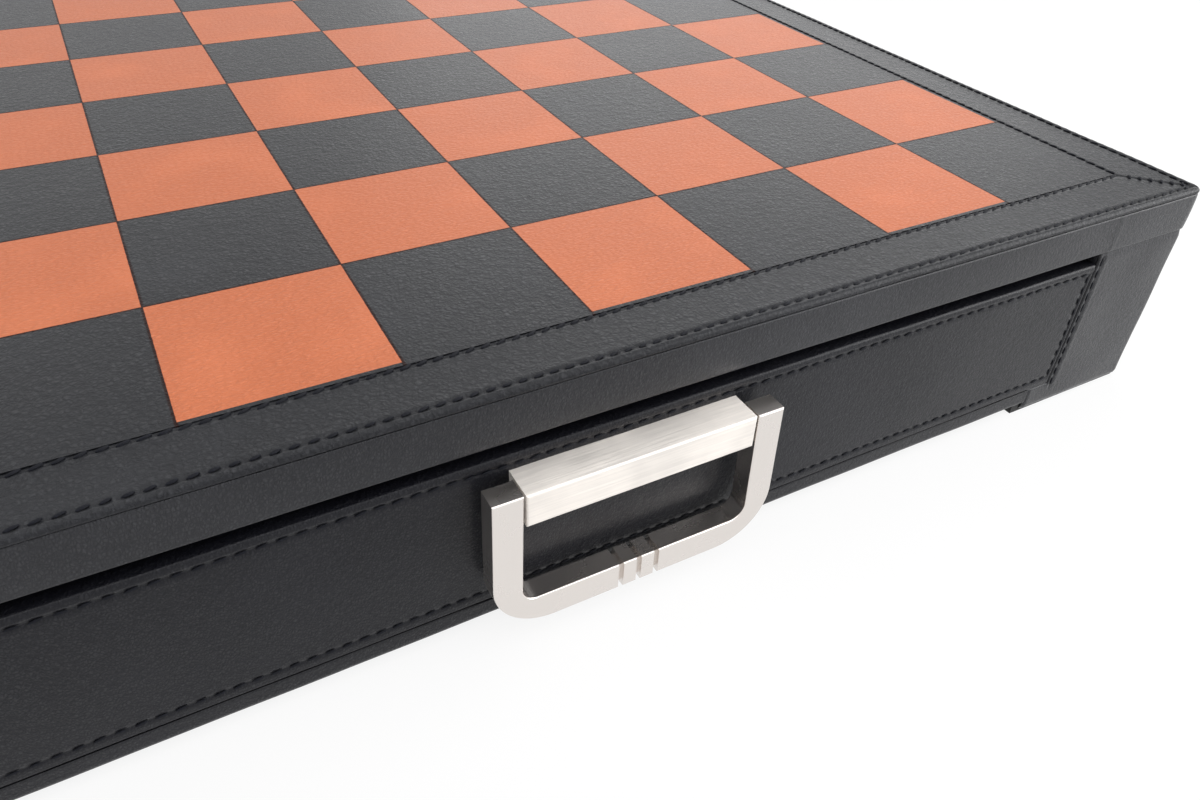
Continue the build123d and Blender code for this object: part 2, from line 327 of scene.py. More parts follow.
@dataclass(frozen=True)
class PrintedLeather(GrainedLeather):
    """Leather of the field, printed in square patches whose edges bleed a little.

    Args:
        bleed: colour of the thin line along a patch's edge: ink bleed, darkened as painted shade of the step.
        bleed_reach: width of that line, in metres.
        square: side of a square of the field, in metres.
        inner_reach: how far from the field's middle the lines go.
    """

    bleed: Colour = (0.16, 0.03, 0.014)
    bleed_reach: float = 0.30 * MM
    square: float = 45 * MM
    inner_reach: float = 170 * MM

    def paint(self, shader: Shader) -> None:
        """Lay the leather and its edge lines of ink bleed and painted shade."""
        super().paint(shader)
        ragged = shader.warped(700.0, 0.16 * MM)
        nearest: Optional[Value] = None
        for name in "XY":
            line = shader.axis(name, ragged)
            off = (line / self.square).math("PINGPONG", 0.5) * self.square
            off = off + line.math("ABSOLUTE").step(self.inner_reach, self.inner_reach + self.bleed_reach)
            nearest = off if nearest is None else nearest.math("MINIMUM", off)
        off_edge_line = nearest.step(self.bleed_reach * 0.3, self.bleed_reach)
        colour = shader.surface.inputs["Base Color"].links[0].from_socket
        lacquer = Value(shader, shader.surface.inputs["Coat Weight"].links[0].from_socket)
        # Painted shade: along the patch edges the colour turns to the dark edge-line colour and the lacquer
        # drops away.
        shader.dress(Base_Color=shader.mix(off_edge_line, self.bleed, colour), Coat_Weight=lacquer * off_edge_line)


@dataclass(frozen=True)
class SewingThread(Finish):
    """Waxed dark thread, laid in twisted strands."""

    def paint(self, shader: Shader) -> None:
        """Lay the strands."""
        strands = shader.clouds(2600.0, 2.0)
        shader.relief(strands, 0.08 * MM)
        lighter = tuple(2.0 * part + 0.002 for part in self.colour)
        shader.dress(Base_Color=shader.mix(strands.step(0.45, 0.8), self.colour, lighter),
                     Roughness=0.45 + strands * 0.2, Specular_IOR_Level=0.12)


class BrushLine(Enum):
    """The way in which a metal piece was brushed."""

    ALONG_X = "along its length"
    ROUND_BAIL = "along the arms and along the grip"


@dataclass(frozen=True)
class BrushedNickel(Finish):
    """Warm nickel plate over brushed steel.

    Args:
        lines: the way of the brushing.
        arm_edge: where a bail's arms start, from its middle, in metres.
        arm_top: height of the arms' tops, which are polished, in metres.
        roughness: middle roughness.
        scratch: depth of the brush lines, in metres.
        streak: brightness of the darkest brush lines.
    """

    lines: BrushLine = BrushLine.ALONG_X
    arm_edge: float = 0.0
    arm_top: float = 1.0
    roughness: float = 0.27
    scratch: float = 0.002 * MM
    streak: float = 0.985

    def paint(self, shader: Shader) -> None:
        """Lay the brush lines."""
        lines = shader.clouds(BRUSH_LINES, 3.0, shader.stretched((BRUSH_DRAW, 1.0, 1.0)))
        if self.lines is BrushLine.ROUND_BAIL:
            upright = shader.clouds(BRUSH_LINES, 3.0, shader.stretched((1.0, 1.0, BRUSH_DRAW)))
            arm = shader.axis("X").math("ABSOLUTE").step(self.arm_edge - 3 * MM, self.arm_edge + 1 * MM)
            below = 1 - shader.axis("Z").step(self.arm_top - 0.7 * MM, self.arm_top - 0.3 * MM)
            lines = lines * (1 - arm) + (upright - 0.5) * arm * below + arm * 0.5
        cloud = shader.clouds(70.0, 3.0)
        shader.relief(lines, self.scratch)
        darker = tuple(self.streak * part for part in self.colour)
        tone = lines.step(0.25, 0.75) * 0.5 + cloud.step(0.3, 0.7) * 0.5
        rough = self.roughness + (lines - 0.5) * (1.3 * (1 - self.streak)) + (cloud - 0.5) * 0.14
        shader.dress(Base_Color=shader.mix(tone, darker, self.colour), Metallic=1.0, Roughness=rough)


@dataclass(frozen=True)
class SawnWood(Finish):
    """Plain or stained board with fine fibres along one axis.

    Args:
        dark: the darker colour of the fibres.
        grain: how much the fibres are stretched along X, Y and Z.
    """

    dark: Colour
    grain: Colour

    def paint(self, shader: Shader) -> None:
        """Lay the fibres."""
        drawn = shader.stretched(self.grain)
        fibre = shader.clouds(420.0, 5.0, drawn, 0.4)
        bands = shader.clouds(60.0, 3.0, drawn, 1.2)
        shader.relief(fibre, 0.12 * MM, 0.6)
        tone = fibre * 0.55 + bands.step(0.3, 0.7) * 0.45
        shader.dress(Base_Color=shader.mix(tone, self.dark, self.colour), Roughness=0.62 + fibre * 0.2)


@dataclass(frozen=True)
class NappedCloth(Finish):
    """Suede or felt: a short matt nap with brushed patches.

    Args:
        brushed: colour where the nap lies the other way.
        fibre: fibres per metre.
    """

    brushed: Colour
    fibre: float = 2400.0

    def paint(self, shader: Shader) -> None:
        """Lay the nap."""
        nap = shader.clouds(self.fibre, 4.0)
        patches = shader.clouds(45.0, 3.0, None, 0.8)
        shader.relief(nap, 0.25 * MM)
        tone = patches.step(0.35, 0.65) * 0.5 + nap * 0.5
        shader.dress(Base_Color=shader.mix(tone, self.colour, self.brushed), Roughness=0.9,
                     Sheen_Weight=0.25, Sheen_Roughness=0.5)


@dataclass(frozen=True)
class MouldedRubber(Finish):
    """Matt black rubber with a moulded texture."""

    def paint(self, shader: Shader) -> None:
        """Lay the speckle."""
        speckle = shader.clouds(1600.0, 3.0)
        dust = shader.clouds(90.0, 3.0)
        shader.relief(speckle, 0.06 * MM)
        dusty = tuple(part + 0.02 for part in self.colour)
        shader.dress(Base_Color=shader.mix(dust.step(0.5, 0.8) * 0.6, self.colour, dusty),
                     Roughness=0.7 + speckle * 0.15)


BLACK_LEATHER = GrainedLeather("black_leather_grained", (0.0215, 0.0224, 0.0264), (0.004, 0.0042, 0.0055))
# The field's edge lines are near black: brownish ink bleed with painted shade of the step between patches.
FIELD_LEATHER = PrintedLeather("black_leather_field", BLACK_LEATHER.colour, BLACK_LEATHER.crease,
                               bleed=(0.015, 0.004, 0.003), bleed_reach=0.60 * MM)
# Same black hide as the top, with a finer, stretched grain; its colour is darker than the top's, painted
# shade on the drawer fronts and edge strips.
SHADED_FACE_LEATHER = GrainedLeather("black_leather_faces_shaded", (0.0088, 0.0090, 0.0128), (0.0028, 0.0029, 0.0045),
                              pebble=0.80 * MM, relief=0.34 * MM, roughness=0.36, stretch=(0.8, 1.0, 1.3),
                              specular=0.07, coat=1.02)
# Lighter copy of the same black leather, with more lacquer: painted sheen on the bands, corner covers and
# side panels.
SHEEN_CASE_LEATHER = replace(SHADED_FACE_LEATHER, name="black_leather_case_sheen", colour=(0.0290, 0.0295, 0.0340), coat=1.25)
THREAD = SewingThread("navy_thread", (0.0035, 0.004, 0.007))
FINISHES = {
    "black_leather": BLACK_LEATHER,
    "orange_leather": PrintedLeather(
        "orange_leather_printed", (0.590, 0.180, 0.081), (0.45, 0.120, 0.050), pebble=0.8 * MM,
        relief=0.24 * MM, roughness=0.5, stretch=(2.4, 1.0, 1.0), specular=0.12, coat=0.42),
    # Near-black board colour: painted shade that darkens the slot above the drawers and the drawer bays.
    "board_wood": SawnWood("shade_black_board", (0.030, 0.028, 0.026), (0.014, 0.013, 0.012), (1.0, 1.0, 1.0)),
    "drawer_wood": SawnWood("stained_plywood", (0.19, 0.105, 0.055), (0.09, 0.045, 0.022), (0.08, 0.08, 1.0)),
    "drawer_suede": NappedCloth("suede_lining", (0.020, 0.021, 0.025), (0.045, 0.047, 0.054)),
    "black_felt": NappedCloth("base_felt", (0.018, 0.018, 0.020), (0.035, 0.035, 0.038), fibre=1700.0),
    "foot_rubber": MouldedRubber("foot_rubber", (0.014, 0.014, 0.014)),
    "brushed_handle_steel": BrushedNickel("brushed_nickel_bar", (0.87, 0.832, 0.792), roughness=0.72,
                                          scratch=0.05 * MM, streak=0.82),
    "screw_steel": BrushedNickel("turned_steel", (0.62, 0.62, 0.63), roughness=0.35),
}


# ---- Studio ----


def add_object(name: str, data: bpy.types.ID) -> bpy.types.Object:
    """Make an object of a mesh, lamp or camera and link it to the scene."""
    item = bpy.data.objects.new(name, data)
    bpy.context.scene.collection.objects.link(item)
    return item


@dataclass(frozen=True)
class Softbox:
    """One square lamp, aimed at the box.

    Args:
        name: its name.
        place: its place, in metres.
        size: its side, in metres.
        power: its power, in watts.
    """

    name: str
    place: Colour
    size: float
    power: float

    def hang(self) -> None:
        """Hang the lamp, unseen by the camera."""
        data = bpy.data.lights.new(self.name, "AREA")
        data.size = self.size
        data.energy = self.power
        lamp = add_object(self.name, data)
        lamp.location = self.place
        lamp.rotation_euler = Vector(self.place).to_track_quat("Z", "Y").to_euler()
        lamp.visible_camera = False


@dataclass
class Studio:
    """Floor, light and the photograph's camera."""

    camera_place: Colour = (-87.55 * MM, -334.94 * MM, 184.86 * MM)
    camera_turn: Colour = (51.696, -2.083, -28.707)
    focal: float = 27.62
    sensor: float = 36.0
    floor_size: float = 30.0
    floor_gap: float = 0.08 * MM
    floor_grey: float = 0.88
    floor_white: float = 0.86
    shadow_reach: float = 0.45
    sky: float = 0.42
    horizon_white: float = 1.0
    lamps: tuple[Softbox, ...] = (Softbox("overhead", (-0.10, -0.28, 1.30), 1.7, 12.3),
                                  Softbox("right", (0.80, -0.68, 0.42), 0.8, 9.6),
                                  Softbox("back", (1.12, 1.30, 0.80), 1.6, 7.6))

    def camera(self) -> None:
        """Place the camera where the photograph was taken from."""
        data = bpy.data.cameras.new("photo_camera")
        data.lens = self.focal
        data.sensor_width = self.sensor
        data.clip_start = 5 * MM
        camera = add_object("photo_camera", data)
        camera.location = self.camera_place
        camera.rotation_euler = Euler([math.radians(angle) for angle in self.camera_turn])
        bpy.context.scene.camera = camera

    def floor(self) -> None:
        """Lay the pale floor, which the camera sees as white outside the object's shadow."""
        mesh = bpy.data.meshes.new("floor")
        shape = bmesh.new()
        bmesh.ops.create_grid(shape, x_segments=1, y_segments=1, size=self.floor_size / 2)
        bmesh.ops.translate(shape, vec=(0, 0, -self.floor_gap), verts=shape.verts)
        shape.to_mesh(mesh)
        shape.free()
        floor = add_object("floor", mesh)
        shader = Shader("pale_floor")
        shader.dress(Base_Color=(self.floor_grey,) * 3, Roughness=0.9, Specular_IOR_Level=0.0)
        white = shader.node("Emission", {"Color": WHITE, "Strength": 1.0})
        length = shader.node("VectorMath", {0: shader.place}, operation="LENGTH").outputs["Value"]
        far = Value(shader, length).step(self.shadow_reach, 3 * self.shadow_reach)
        share = far * (1 - self.floor_white) + self.floor_white
        blend = shader.node("MixShader", {0: shader.seen() * share, 1: shader.surface.outputs[0],
                                          2: white.outputs[0]})
        shader.feed(shader.output.inputs["Surface"], blend.outputs[0])
        mesh.materials.append(shader.material)

    def light(self) -> None:
        """Set the soft world light, which the camera sees as white, and the lamps."""
        world = bpy.data.worlds.new("studio")
        world.use_nodes = True
        nodes = Nodes(world.node_tree)
        lit, white = (nodes.node("Background", {"Color": WHITE, "Strength": strength})
                      for strength in (self.sky, self.horizon_white))
        mix = nodes.node("MixShader", {0: nodes.seen(), 1: lit.outputs[0], 2: white.outputs[0]})
        nodes.node("OutputWorld", {"Surface": mix.outputs[0]})
        bpy.context.scene.world = world
        for lamp in self.lamps:
            lamp.hang()

    def build(self) -> None:
        """Set up the whole studio."""
        self.camera()
        self.floor()
        self.light()
        bpy.context.scene.view_settings.view_transform = "Standard"


# ---- Leather sheets and sewing ----


def smooth(low: float, high: float, value: float) -> float:
    """Rise smoothly from 0 at low to 1 at high."""
    part = min(1.0, max(0.0, (value - low) / (high - low)))
    return part * part * (3 - 2 * part)


def bell(distance: float, width: float) -> float:
    """Fall from 1 at no distance to about a third at the width, on either side."""
    return math.exp(-(distance / width) ** 2)


def rounded(distance: float, radius: float) -> float:
    """How far a face falls back at a distance from its edge, when that edge is rounded."""
    if distance >= radius:
        return 0.0
    return radius - math.sqrt(max(0.0, radius ** 2 - (radius - max(0.0, distance)) ** 2))


@dataclass(frozen=True)
class Waves:
    """Slow unevenness of hand-laid leather.

    Args:
        size: length of a wave, in metres.
        height: its height on either side of zero, in metres.
    """

    size: float
    height: float

    def at(self, u: float, v: float, layer: float) -> float:
        """The rise at a place, in one of many unlike layers."""
        return self.height * noise.noise(Vector((u, v, layer)) / self.size)


@dataclass(frozen=True)
class Seam:
    """A straight row of stitches on a flat face with coordinates u and v.

    Args:
        start: u and v of the row's start, in metres.
        end: u and v of its end.
        pitch: distance from stitch to stitch.
        length: length of a stitch.
        slant: turn of each stitch off the row, in degrees.
        width: width of the thread.
        press: depth to which the row pulls the leather in.
        puff: how much the leather swells beside the row, as a share of the press.
        sink: how deep the thread's middle lies, as a share of the press.
        swing: how much the channel's depth changes from stitch to stitch, as a share of the press.
        overrun: how far the channel runs on past its ends.
        reach: how far from the row the leather is moved.
        channel: half width of the channel.
        puff_at: distance from the row to the swellings beside it.
        puff_width: half width of a swelling.
    """

    start: tuple[float, float]
    end: tuple[float, float]
    pitch: float = 3.6 * MM
    length: float = 2.7 * MM
    slant: float = 18.0
    width: float = 0.95 * MM
    press: float = 0.50 * MM
    puff: float = 0.24
    sink: float = 0.25
    swing: float = 0.38
    overrun: float = 1.2 * MM
    reach: float = 3 * MM
    channel: float = 0.52 * MM
    puff_at: float = 1.15 * MM
    puff_width: float = 0.55 * MM

    @property
    def run(self) -> float:
        """Length of the row."""
        return math.dist(self.start, self.end)

    @property
    def count(self) -> int:
        """Number of stitches."""
        return max(1, round(self.run / self.pitch))

    def along(self, u: float, v: float) -> tuple[float, float]:
        """Distance along the row and across it, for a point of the face."""
        du, dv = self.end[0] - self.start[0], self.end[1] - self.start[1]
        pu, pv = u - self.start[0], v - self.start[1]
        return (pu * du + pv * dv) / self.run, (pv * du - pu * dv) / self.run

    def relief(self, u: float, v: float) -> float:
        """Height of the leather near the row, in metres, at most a little above zero."""
        along, across = self.along(u, v)
        ends = smooth(-self.overrun, 0.2 * MM, along) * smooth(-self.overrun, 0.2 * MM, self.run - along)
        if ends == 0.0 or abs(across) > self.reach:
            return 0.0
        phase = math.cos(2 * math.pi * along * self.count / self.run)
        trough = bell(across, self.channel) * (1 - self.swing - self.swing * phase)
        puff = bell(abs(across) - self.puff_at, self.puff_width) * (0.8 - 0.2 * phase)
        return ends * self.press * (self.puff * puff - trough)


class Piece:
    """A leather or thread mesh in the making, which ends as one object that rides on a body."""

    slot = "black_leather"
    sharp_angle = 42.0

    def __init__(self, name: str) -> None:
        """Start an empty piece."""
        self.name = name
        self.shape = bmesh.new()

    def grid(self, half: float, low: float, high: float, cell: tuple[float, float]) -> None:
        """Lay a flat grid in X and Y.

        Args:
            half: highest X, and lowest with its sign turned.
            low: lowest Y.
            high: highest Y.
            cell: size of a cell along X and Y.
        """
        spans = (2 * half, high - low)
        parts = [max(1, round(span / size)) for span, size in zip(spans, cell)]
        bmesh.ops.create_grid(self.shape, x_segments=parts[0], y_segments=parts[1], size=0.5)
        bmesh.ops.scale(self.shape, vec=(spans[0], spans[1], 1), verts=self.shape.verts)
        bmesh.ops.translate(self.shape, vec=(0, (low + high) / 2, 0), verts=self.shape.verts)

    def lines(self, axis: int, base: float, offsets: Sequence[float], side: int = 1) -> None:
        """Cut lines of points across the grid.

        Args:
            axis: 0 for places along X, 1 for places along Y.
            base: a place near the lines, in metres.
            offsets: where they lie from it, in millimetres.
            side: 1, or -1 for their mirror image.
        """
        normal = Vector((1 - axis, axis, 0))
        for offset in offsets:
            everything = [*self.shape.verts, *self.shape.edges, *self.shape.faces]
            bmesh.ops.bisect_plane(self.shape, geom=everything, dist=0.01 * MM,
                                   plane_co=normal * (side * (base + offset * MM)), plane_no=normal)

    def drop(self, unwanted: Callable[[Vector], bool]) -> None:
        """Delete the faces whose middle passes the test."""
        faces = [face for face in self.shape.faces if unwanted(face.calc_center_median())]
        bmesh.ops.delete(self.shape, geom=faces, context="FACES")

    def move(self, place: Callable[[Vector], Vector]) -> None:
        """Move every point to where the function says."""
        for vertex in self.shape.verts:
            vertex.co = place(vertex.co.copy())
        self.shape.normal_update()

    def sweep(self, outline: Outline, steps: int) -> None:
        """Draw a closed outline in Y and Z along X, from -1 to 1, and close its ends."""
        count = len(outline)
        self.grid(1.0, 0.0, float(count), (2.0 / steps, 1.0))
        for vertex in self.shape.verts:
            vertex.co.y, vertex.co.z = outline[round(vertex.co.y) % count]
        bmesh.ops.remove_doubles(self.shape, verts=self.shape.verts, dist=0.001 * MM)
        rims = [edge for edge in self.shape.edges if edge.is_boundary]
        bmesh.ops.holes_fill(self.shape, edges=rims, sides=0)
        bmesh.ops.recalc_face_normals(self.shape, faces=self.shape.faces)

    def thicken(self, leather: float, outward: Callable[[Vector], Vector]) -> None:
        """Turn the sheet's faces outwards and give it its thickness inwards.

        Args:
            leather: thickness of the CAD's leather, which the sheet stays just inside.
            outward: outward direction at a point.
        """
        bmesh.ops.recalc_face_normals(self.shape, faces=self.shape.faces)
        self.shape.normal_update()
        agree = sum(face.normal.dot(outward(face.calc_center_median())) for face in self.shape.faces)
        if agree < 0:
            bmesh.ops.reverse_faces(self.shape, faces=self.shape.faces)
        bmesh.ops.solidify(self.shape, geom=list(self.shape.faces), thickness=leather - 0.1 * MM)

    def slab(self, low: Vector, high: Vector, bevel: float) -> None:
        """Add a small slab with bevelled edges between two corners."""
        made = bmesh.ops.create_cube(self.shape, size=1.0)["verts"]
        bmesh.ops.scale(self.shape, vec=high - low, verts=made)
        bmesh.ops.translate(self.shape, vec=(low + high) / 2, verts=made)
        edges = list({edge for vertex in made for edge in vertex.link_edges})
        bmesh.ops.bevel(self.shape, geom=edges, offset=bevel, segments=2, profile=0.5, material=-1,
                        affect="EDGES")

    def done(self, material: Material, body: str, *replaced: str) -> None:
        """Make the object.

        Args:
            material: its finish.
            body: the body it rides on.
            replaced: CAD nodes that it stands for.
        """
        if self.shape.calc_volume(signed=True) < 0:
            bmesh.ops.reverse_faces(self.shape, faces=self.shape.faces)
        mesh = bpy.data.meshes.new(self.name)
        self.shape.to_mesh(mesh)
        self.shape.free()
        for polygon in mesh.polygons:
            polygon.use_smooth = True
        mesh.set_sharp_from_angle(angle=math.radians(self.sharp_angle))
        mesh.materials.append(material)
        item = add_object(self.name, mesh)
        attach(item, body)
        if replaced:
            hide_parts(*replaced)
        log.info("%s: %d faces", self.name, len(mesh.polygons))


class Sewing(Piece):
    """Threads of one or more seams on one piece of leather."""

    def __init__(self, name: str) -> None:
        """Start the sewing and its single stitch."""
        super().__init__(name)
        self.dice = random.Random(name + str(SEED))
        self.stitch = bpy.data.meshes.new("stitch")
        pattern = bmesh.new()
        bmesh.ops.create_uvsphere(pattern, u_segments=6, v_segments=6, radius=0.5)
        bmesh.ops.rotate(pattern, cent=(0, 0, 0), matrix=Matrix.Rotation(math.pi / 2, 3, "Y"),
                         verts=pattern.verts)
        pattern.to_mesh(self.stitch)
        pattern.free()

    def row(self, seam: Seam, face: Face) -> None:
        """Sew one row.

        Args:
            seam: the row.
            face: gives, for u and v, the place on the leather, the direction of u and the outward direction.
        """
        turn = math.atan2(seam.end[1] - seam.start[1], seam.end[0] - seam.start[0])
        for number in range(seam.count):
            part = (number + 0.5) / seam.count
            u = seam.start[0] + part * (seam.end[0] - seam.start[0])
            v = seam.start[1] + part * (seam.end[1] - seam.start[1])
            place, ahead, out = face(u, v)
            axes = Matrix((ahead, out.cross(ahead), out)).transposed().to_4x4()
            slant = math.radians(seam.slant + self.dice.uniform(-5, 5))
            sizes = (seam.length * self.dice.uniform(0.92, 1.08), seam.width * self.dice.uniform(0.9, 1.1),
                     0.8 * seam.width)
            scale = Matrix.Diagonal((*sizes, 1.0))
            lift = Matrix.Translation(place - out * (seam.sink * seam.press))
            matrix = lift @ axes @ Matrix.Rotation(turn + slant, 4, "Z") @ scale
            first = len(self.shape.verts)
            self.shape.from_mesh(self.stitch)
            self.shape.verts.ensure_lookup_table()
            for vertex in self.shape.verts[first:]:
                vertex.co = matrix @ vertex.co


# ---- The case's leather ----

ANGLES = {"front": 0, "right": 90, "back": 180, "left": 270}
CORNERS = {"front_left": (-1, -1), "front_right": (1, -1), "back_left": (-1, 1), "back_right": (1, 1)}
ENDS = {"front": -1, "back": 1}
HANDS = {"left": -1, "right": 1}


@dataclass
class CaseLeather:
    """Sizes that the case's leather pieces share, in metres.

    Args:
        half: half the box's width, over its leather.
        leather: the leather's thickness.
        top: height of the playing field and the border.
        field_half: half the playing field's width.
        band_low: height at which the bands end.
        opening_half: half the width between the corner covers.
        tab_edge: where the corner covers' tabs end, from the box's middle.
        post_low: height at which the corner covers start.
        panel_low: height at which the other pieces start.
        rail_top: height of the tabs and edge strips.
        high: height at which the corner and side covers end.
        corner_radius: radius of the box's upright corners.
    """

    half: float
    leather: float
    top: float
    field_half: float
    band_low: float
    opening_half: float
    tab_edge: float
    post_low: float
    panel_low: float
    rail_top: float
    high: float
    corner_radius: float = 2.2 * MM

    def round_corner(self, x: float, y: float, z: float) -> Vector:
        """Give a point of the box's outside, drawn in where it lies in one of the upright corners."""
        inner = self.half - self.corner_radius
        point = Vector((x, y, z))
        over = Vector((abs(point.x) - inner, abs(point.y) - inner))
        if over.x <= 0 or over.y <= 0:
            return point
        over = over * (max(over.x, over.y) / over.length)
        x_side, y_side = math.copysign(1, point.x), math.copysign(1, point.y)
        return Vector((x_side * (inner + over.x), y_side * (inner + over.y), point.z))


@dataclass
class TopBorder(CaseLeather):
    """Mitred strips round the playing field, sewn along both edges, and the bands below them."""

    inner_inset: float = 0.85 * MM
    outer_inset: float = 2.4 * MM
    lip: float = 1.65 * MM
    lip_inset: float = 1.0 * MM
    lip_width: float = 0.75 * MM
    lip_swell: float = 0.16 * MM
    lip_beat: float = 0.05 * MM
    mitre_depth: float = 0.42 * MM
    mitre_width: float = 0.38 * MM
    band_bulge: float = 0.14 * MM
    band_steps: int = 300
    fold_gap: float = 3 * MM
    fold_height: float = 0.14 * MM
    fold_width: float = 0.6 * MM
    pitch: float = 3.6 * MM
    steps_per_stitch: int = 4
    sag: Waves = Waves(26 * MM, 0.10 * MM)
    side_sway: Waves = Waves(30 * MM, 0.14 * MM)
    band_sway: Waves = Waves(34 * MM, 0.22 * MM)

    def seams(self) -> list[Seam]:
        """The inner and the outer row, with u along the side and v out from the middle of the box."""
        inner, outer = self.field_half + self.inner_inset, self.half - self.outer_inset
        return [Seam((-inner, inner), (inner, inner), self.pitch, length=2.9 * MM, slant=20.0,
                     width=0.85 * MM, press=0.40 * MM, puff=0.1, sink=0.0),
                Seam((-outer, outer), (outer, outer), self.pitch, length=2.6 * MM, width=0.80 * MM,
                     sink=-0.2)]

    def outline(self) -> Outline:
        """Section of a strip: distance out from the middle of the box, and height."""
        width = (self.half - self.field_half) / MM
        under = self.leather / MM
        points = [(width, under), (width, 0.5), (width - 0.15, 0.22), (width - 0.45, 0.06)]
        points += [(width - 0.8, 0.0)]
        points += [(width - inset, 0.0) for inset in (1.1, 1.4, 1.7, 2.0, 2.5, 3.2, 5.0, 7.5, 10.0)]
        points += [(inset, 0.0) for inset in (5.6, 4.2, 3.5, 3.05, 2.7, 2.4, 2.1, 1.75, 1.3)]
        points += [(0.9, 0.02), (0.5, 0.16), (0.17, 0.45), (0.0, 0.9), (0.05, 1.3), (0.3, 1.58), (0.9, 1.65)]
        points += [(1.6, 1.62), (1.9, under)]
        return [(self.half - inset * MM, self.top - drop * MM) for inset, drop in points]

    def lay(self, point: Vector, seams: Sequence[Seam]) -> Vector:
        """Place one point of a front strip: mitred, pressed by its seams, swollen and uneven."""
        fraction, out, level = point
        along = fraction * out
        facing = smooth(self.top - 0.9 * MM, self.top - 0.1 * MM, level)
        rise = sum(seam.relief(along, out) for seam in seams)
        beat = self.lip_beat * math.cos(2 * math.pi * along / self.pitch + math.pi)
        swell = bell(self.half - out - self.lip_inset, self.lip_width) * (self.lip_swell + beat)
        mitre = -self.mitre_depth * bell((out - abs(along)) / math.sqrt(2), self.mitre_width)
        sag = self.sag.at(along, out, 0.0)
        side = self.side_sway.at(along, 0.3, level) * smooth(3 * MM, 0.0, self.half - out)
        return self.round_corner(along, -out - side, level + facing * (rise + swell + mitre + sag))

    def band_outline(self) -> Outline:
        """Section of a band: distance out from the middle of the box, and height."""
        high = self.top - self.lip
        thickness = self.leather / MM
        low_points = [(thickness, 0.0), (0.5, 0.0), (0.2, 0.07), (0.05, 0.25), (0.0, 0.7)]
        high_points = [(0.0, 0.6), (0.06, 0.25), (0.22, 0.06), (0.5, 0.0), (thickness, 0.0)]
        parts = [number / 6 for number in range(1, 6)]
        points = [(self.half - inset * MM, self.band_low + up * MM) for inset, up in low_points]
        points += [(self.half + self.band_bulge * math.sin(math.pi * part),
                    self.band_low + part * (high - self.band_low)) for part in parts]
        return points + [(self.half - inset * MM, high - down * MM) for inset, down in high_points]

    def wrap(self, point: Vector) -> Vector:
        """Place one point of a front band, mitred, uneven, and raised over the covers' folds."""
        fraction, out, level = point
        along = fraction * out
        face = smooth(1.0 * MM, 0.2 * MM, self.half - out)
        fold = bell(abs(along) - (self.opening_half + self.fold_gap), self.fold_width)
        sway = self.band_sway.at(along, 0.7, level) * face + self.fold_height * face * fold
        return self.round_corner(along, -out - sway, level)

    def face(self, turn: Matrix, ahead: Sequence[float] = (1, 0, 0), drop: float = 0.0) -> Face:
        """The top face of one side, for its sewing.

        Args:
            turn: turn of that side.
            ahead: direction of a stitch on the front side.
            drop: how far below the top the thread lies, in metres.

        Returns:
            The face.
        """
        return lambda u, v: (turn @ Vector((u, -v, self.top - drop)), turn @ Vector(ahead), Vector((0, 0, 1)))

    def build(self, finish: Material, band: Material, thread: Material) -> None:
        """Build the four strips, their bands and all their sewing."""
        seams = self.seams()
        inner, outer = seams[0].end[1] + 1.2 * MM, seams[1].end[1] - 0.8 * MM
        mitre = Seam((inner, inner), (outer, outer), pitch=2.9 * MM, length=2.5 * MM, slant=90.0,
                     width=1.15 * MM, press=0.3 * MM, sink=-0.6)
        for side, angle in ANGLES.items():
            turn = Matrix.Rotation(math.radians(angle), 3, "Z")
            strip = Piece(f"border_leather_{side}")
            strip.sweep(self.outline(), self.steps_per_stitch * seams[1].count)
            strip.move(lambda point: turn @ self.lay(point, seams))
            strip.done(finish, "case", f"border_{side}")

            # The bands take the lighter copy of the black leather: painted sheen.
            wrapped = Piece(f"band_leather_{side}")
            wrapped.sweep(self.band_outline(), self.band_steps)
            wrapped.move(lambda point: turn @ self.wrap(point))
            wrapped.done(band, "case", f"band_{side}")

            sewing = Sewing(f"border_thread_{side}")
            for seam in seams:
                sewing.row(replace(seam, start=(seam.start[0] + 1 * MM, seam.start[1]),
                                   end=(seam.end[0] - 1 * MM, seam.end[1])), self.face(turn))
            sewing.row(mitre, self.face(turn, (0, -1, 0), 0.1 * MM))
            sewing.done(thread, "case")


